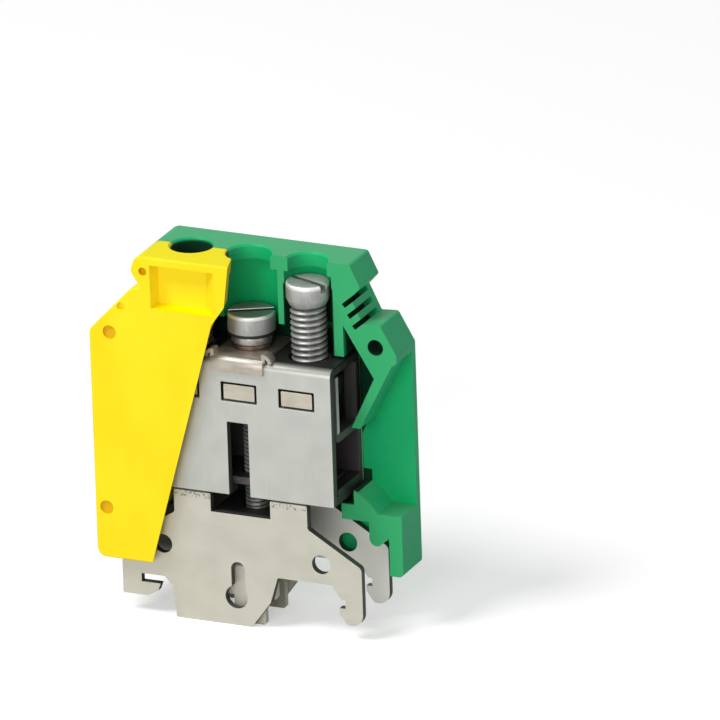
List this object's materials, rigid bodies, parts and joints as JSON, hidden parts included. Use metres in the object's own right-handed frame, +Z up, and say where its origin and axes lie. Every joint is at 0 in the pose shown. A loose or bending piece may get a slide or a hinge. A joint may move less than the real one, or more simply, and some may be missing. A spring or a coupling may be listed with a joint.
{
  "type": "earth terminal block",
  "caption": "Rail-mounted earth terminal block with a cut-away housing, a conductor cage with clamp screws, and a screwed foot that hooks under a top-hat rail.",
  "frame": {"origin": "centre of the bounding box at the level of the foot's lowest edge, on the parting plane of the housing halves and on the foot screw's axis", "axes": "+X along the block towards the cut-away side, +Y along the rail from the yellow cover to the green housing, +Z up from the foot to the screw heads"},
  "size_m": [0.05, 0.0152, 0.0615],
  "materials": {
    "green_plastic": "satin moulded",
    "yellow_plastic": "satin moulded",
    "plated_steel": "pale passivated plating on pressed sheet",
    "screw_steel": "plated and turned",
    "foot_steel": "pale plating on punched sheet",
    "nut_brass": "pale passivated",
    "tinned_bar": "tinned"
  },
  "bodies": {
    "block": {"green_housing": "green_plastic", "yellow_cover": "yellow_plastic", "cage": "plated_steel", "nut_bar": "nut_brass", "contact_bar": "tinned_bar", "lock_washer": "screw_steel", "plain_washer": "screw_steel", "bridge_plate": "plated_steel", "rail_foot": "foot_steel", "foot_nut": "foot_steel"},
    "left_pad": {"left_pressure_pad": "plated_steel"},
    "left_screw": {"left_clamp_screw": "screw_steel"},
    "right_pad": {"right_pressure_pad": "plated_steel"},
    "right_screw": {"right_clamp_screw": "screw_steel"},
    "rail_presser": {"rail_press": "foot_steel"},
    "middle_screw": {"foot_screw": "screw_steel"}
  },
  "joints": [
    {"name": "left_pad_slide", "type": "slide", "parent": "block", "child": "left_pad", "axis": [0, 0, -1], "range_m": [0, 0.0077]},
    {"name": "left_screw_turn", "type": "hinge", "parent": "left_pad", "child": "left_screw", "pos_m": [-0.01, 0, 0.05], "axis": [0, 0, -1], "range_deg": [0, 2772]},
    {"name": "right_pad_slide", "type": "slide", "parent": "block", "child": "right_pad", "axis": [0, 0, -1], "range_m": [0, 0.0077]},
    {"name": "right_screw_turn", "type": "hinge", "parent": "right_pad", "child": "right_screw", "pos_m": [0.01, 0, 0.05], "axis": [0, 0, -1], "range_deg": [0, 2772]},
    {"name": "rail_press_slide", "type": "slide", "parent": "block", "child": "rail_presser", "axis": [0, 0, 1], "range_m": [0, 0.0021]},
    {"name": "foot_screw_turn", "type": "hinge", "parent": "rail_presser", "child": "middle_screw", "pos_m": [0, 0, 0.03], "axis": [0, 0, 1], "range_deg": [0, 1080]}
  ],
  "couplings": [
    {"joint": "left_screw_turn", "follows": "left_pad_slide", "rad_per_m": 6283.1},
    {"joint": "right_screw_turn", "follows": "right_pad_slide", "rad_per_m": 6283.1},
    {"joint": "foot_screw_turn", "follows": "rail_press_slide", "rad_per_m": 8975.9}
  ]
}
